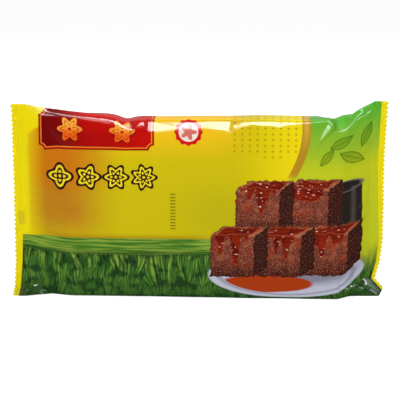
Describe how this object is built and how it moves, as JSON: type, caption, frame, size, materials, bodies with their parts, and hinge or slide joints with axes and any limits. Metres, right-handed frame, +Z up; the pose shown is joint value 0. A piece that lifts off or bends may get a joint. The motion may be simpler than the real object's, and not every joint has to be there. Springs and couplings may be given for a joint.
{
  "type": "sealed flow pack of brown sugar glutinous rice cake",
  "caption": "Sealed flow-wrap film pack standing on its long edge: a flat rectangular block with crimped, pinked end seals that rise as ears, holding glutinous rice cakes.",
  "frame": {"origin": "middle of the bounding box in X and Y, on the surface that the pack stands on", "axes": "+X runs along the pack to its right-hand seal, +Y from the printed front to the back with its fin, +Z up"},
  "size_m": [0.2442, 0.0226, 0.1317],
  "materials": {
    "printed_film": "glossy printed packaging film, mainly yellow with red, green and brown areas"
  },
  "bodies": {
    "root": {"pack": "printed_film"}
  },
  "joints": []
}
